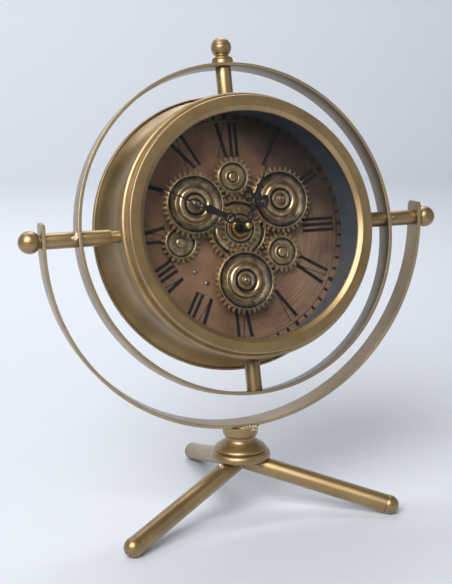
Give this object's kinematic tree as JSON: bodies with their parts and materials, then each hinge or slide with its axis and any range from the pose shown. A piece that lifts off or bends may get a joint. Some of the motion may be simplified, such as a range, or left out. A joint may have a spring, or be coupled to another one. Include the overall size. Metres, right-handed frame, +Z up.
{
  "type": "gear mantel clock",
  "caption": "Round gear clock hung in a hoop that tilts in a half-round yoke on a tripod stand, with exposed turning gears, pierced hands and a recessed dial.",
  "frame": {"origin": "on the table, at the middle of the base outline seen from above; the stand's hub is 30.38 mm in front of it", "axes": "+Z up, the dial faces -Y and leans back 14.5 degrees, +X to the right as seen from the front, along the tilt axis"},
  "size_m": [0.3744, 0.2132, 0.4058],
  "materials": {
    "gold_paint": "satin antique gold paint",
    "gear_brass": "antiqued brass with dark recesses",
    "steel": "plain",
    "nut_brass": "polished, warm",
    "cap_brass": "satin",
    "hand_black": "matt black",
    "clear_glass": "clear float glass",
    "liner_dark": "dark blue-grey",
    "dial_copper": "cloudy copper-brown patina",
    "back_grey": "dark grey powder coat",
    "black_plastic": "moulded",
    "white_plastic": "moulded",
    "cell_jacket": "plain jacket"
  },
  "bodies": {
    "stand": {"base_hub": "gold_paint", "leg_left": "gold_paint", "leg_right": "gold_paint", "leg_rear": "gold_paint", "foot_cap_left": "gold_paint", "foot_cap_right": "gold_paint", "foot_cap_rear": "gold_paint", "yoke": "gold_paint"},
    "clock": {"gimbal_ring": "gold_paint", "finial": "gold_paint", "top_post": "gold_paint", "bottom_post": "gold_paint", "bottom_nut": "gold_paint", "post_studs": "steel", "pivot_stud_left": "steel", "pivot_stud_right": "steel", "ball_knob_left": "gold_paint", "ball_knob_right": "gold_paint", "outer_spacer_left": "gold_paint", "outer_spacer_right": "gold_paint", "inner_spacer_left": "gold_paint", "inner_spacer_right": "gold_paint", "case_drum": "gold_paint", "bezel": "gold_paint", "glass": "clear_glass", "dial_liner": "liner_dark", "dial_plate": "dial_copper", "dial_screws": "steel", "back_cover": "back_grey", "back_screws": "steel", "clock_movement": "black_plastic", "movement_nut": "nut_brass", "movement_cell": "cell_jacket", "gear_motor": "black_plastic", "motor_cell": "cell_jacket", "long_posts": "steel", "short_posts": "gear_brass"},
    "centre_gears": {"centre_wheel": "gear_brass", "centre_pinion": "gear_brass"},
    "left_gears": {"gear_left": "gear_brass", "left_pinion": "gear_brass"},
    "right_gear": {"gear_right": "gear_brass"},
    "bottom_gear": {"gear_bottom": "gear_brass"},
    "top_small_gear": {"small_gear_top": "gear_brass"},
    "right_small_gear": {"small_gear_right": "gear_brass"},
    "drive_gear_body": {"drive_gear": "gear_brass"},
    "minute": {"minute_hand": "hand_black", "minute_arbor": "nut_brass", "hand_cap": "cap_brass"},
    "hour": {"hour_hand": "hand_black", "hour_pipe": "hand_black"},
    "knob": {"setting_knob": "black_plastic"},
    "switch": {"motor_switch": "white_plastic"}
  },
  "joints": [
    {"name": "clock_tilt", "type": "hinge", "parent": "stand", "child": "clock", "pos_m": [0, -0.03037, 0.2475], "axis": [1, 0, 0], "continuous": true},
    {"name": "centre_gear_spin", "type": "hinge", "parent": "clock", "child": "centre_gears", "pos_m": [0, -0.03037, 0.2475], "axis": [0, -0.9681, 0.2504], "continuous": true},
    {"name": "left_gear_spin", "type": "hinge", "parent": "clock", "child": "left_gears", "pos_m": [-0.03837, -0.02483, 0.26894], "axis": [0, -0.9681, 0.2504], "continuous": true},
    {"name": "right_gear_spin", "type": "hinge", "parent": "clock", "child": "right_gear", "pos_m": [0.03837, -0.02483, 0.26894], "axis": [0, -0.9681, 0.2504], "continuous": true},
    {"name": "bottom_gear_spin", "type": "hinge", "parent": "clock", "child": "bottom_gear", "pos_m": [0, -0.04147, 0.20461], "axis": [0, -0.9681, 0.2504], "continuous": true},
    {"name": "top_small_gear_spin", "type": "hinge", "parent": "clock", "child": "top_small_gear", "pos_m": [0, -0.01928, 0.29039], "axis": [0, -0.9681, 0.2504], "continuous": true},
    {"name": "right_small_gear_spin", "type": "hinge", "parent": "clock", "child": "right_small_gear", "pos_m": [0.03837, -0.03592, 0.22606], "axis": [0, -0.9681, 0.2504], "continuous": true},
    {"name": "drive_gear_spin", "type": "hinge", "parent": "clock", "child": "drive_gear_body", "pos_m": [-0.05059, -0.03241, 0.23964], "axis": [0, -0.9681, 0.2504], "continuous": true},
    {"name": "minute_hand_turn", "type": "hinge", "parent": "clock", "child": "minute", "pos_m": [0, -0.03037, 0.2475], "axis": [0, -0.9681, 0.2504], "continuous": true},
    {"name": "hour_hand_turn", "type": "hinge", "parent": "clock", "child": "hour", "pos_m": [0, -0.03037, 0.2475], "axis": [0, -0.9681, 0.2504], "continuous": true},
    {"name": "setting_knob_turn", "type": "hinge", "parent": "clock", "child": "knob", "pos_m": [0.012, -0.02737, 0.25912], "axis": [0, -0.9681, 0.2504], "continuous": true},
    {"name": "motor_switch_slide", "type": "slide", "parent": "clock", "child": "switch", "axis": [0, 0.2504, 0.9681], "range_m": [0, 0.004]}
  ],
  "couplings": [
    {"joint": "left_gear_spin", "follows": "centre_gear_spin", "ratio": -0.58333},
    {"joint": "right_gear_spin", "follows": "centre_gear_spin", "ratio": -0.58333},
    {"joint": "bottom_gear_spin", "follows": "centre_gear_spin", "ratio": -0.58333},
    {"joint": "top_small_gear_spin", "follows": "centre_gear_spin", "ratio": -1.7143},
    {"joint": "right_small_gear_spin", "follows": "centre_gear_spin", "ratio": -1.7143},
    {"joint": "drive_gear_spin", "follows": "centre_gear_spin", "ratio": 0.58333},
    {"joint": "hour_hand_turn", "follows": "minute_hand_turn", "ratio": 0.083333},
    {"joint": "setting_knob_turn", "follows": "minute_hand_turn", "ratio": 1}
  ]
}
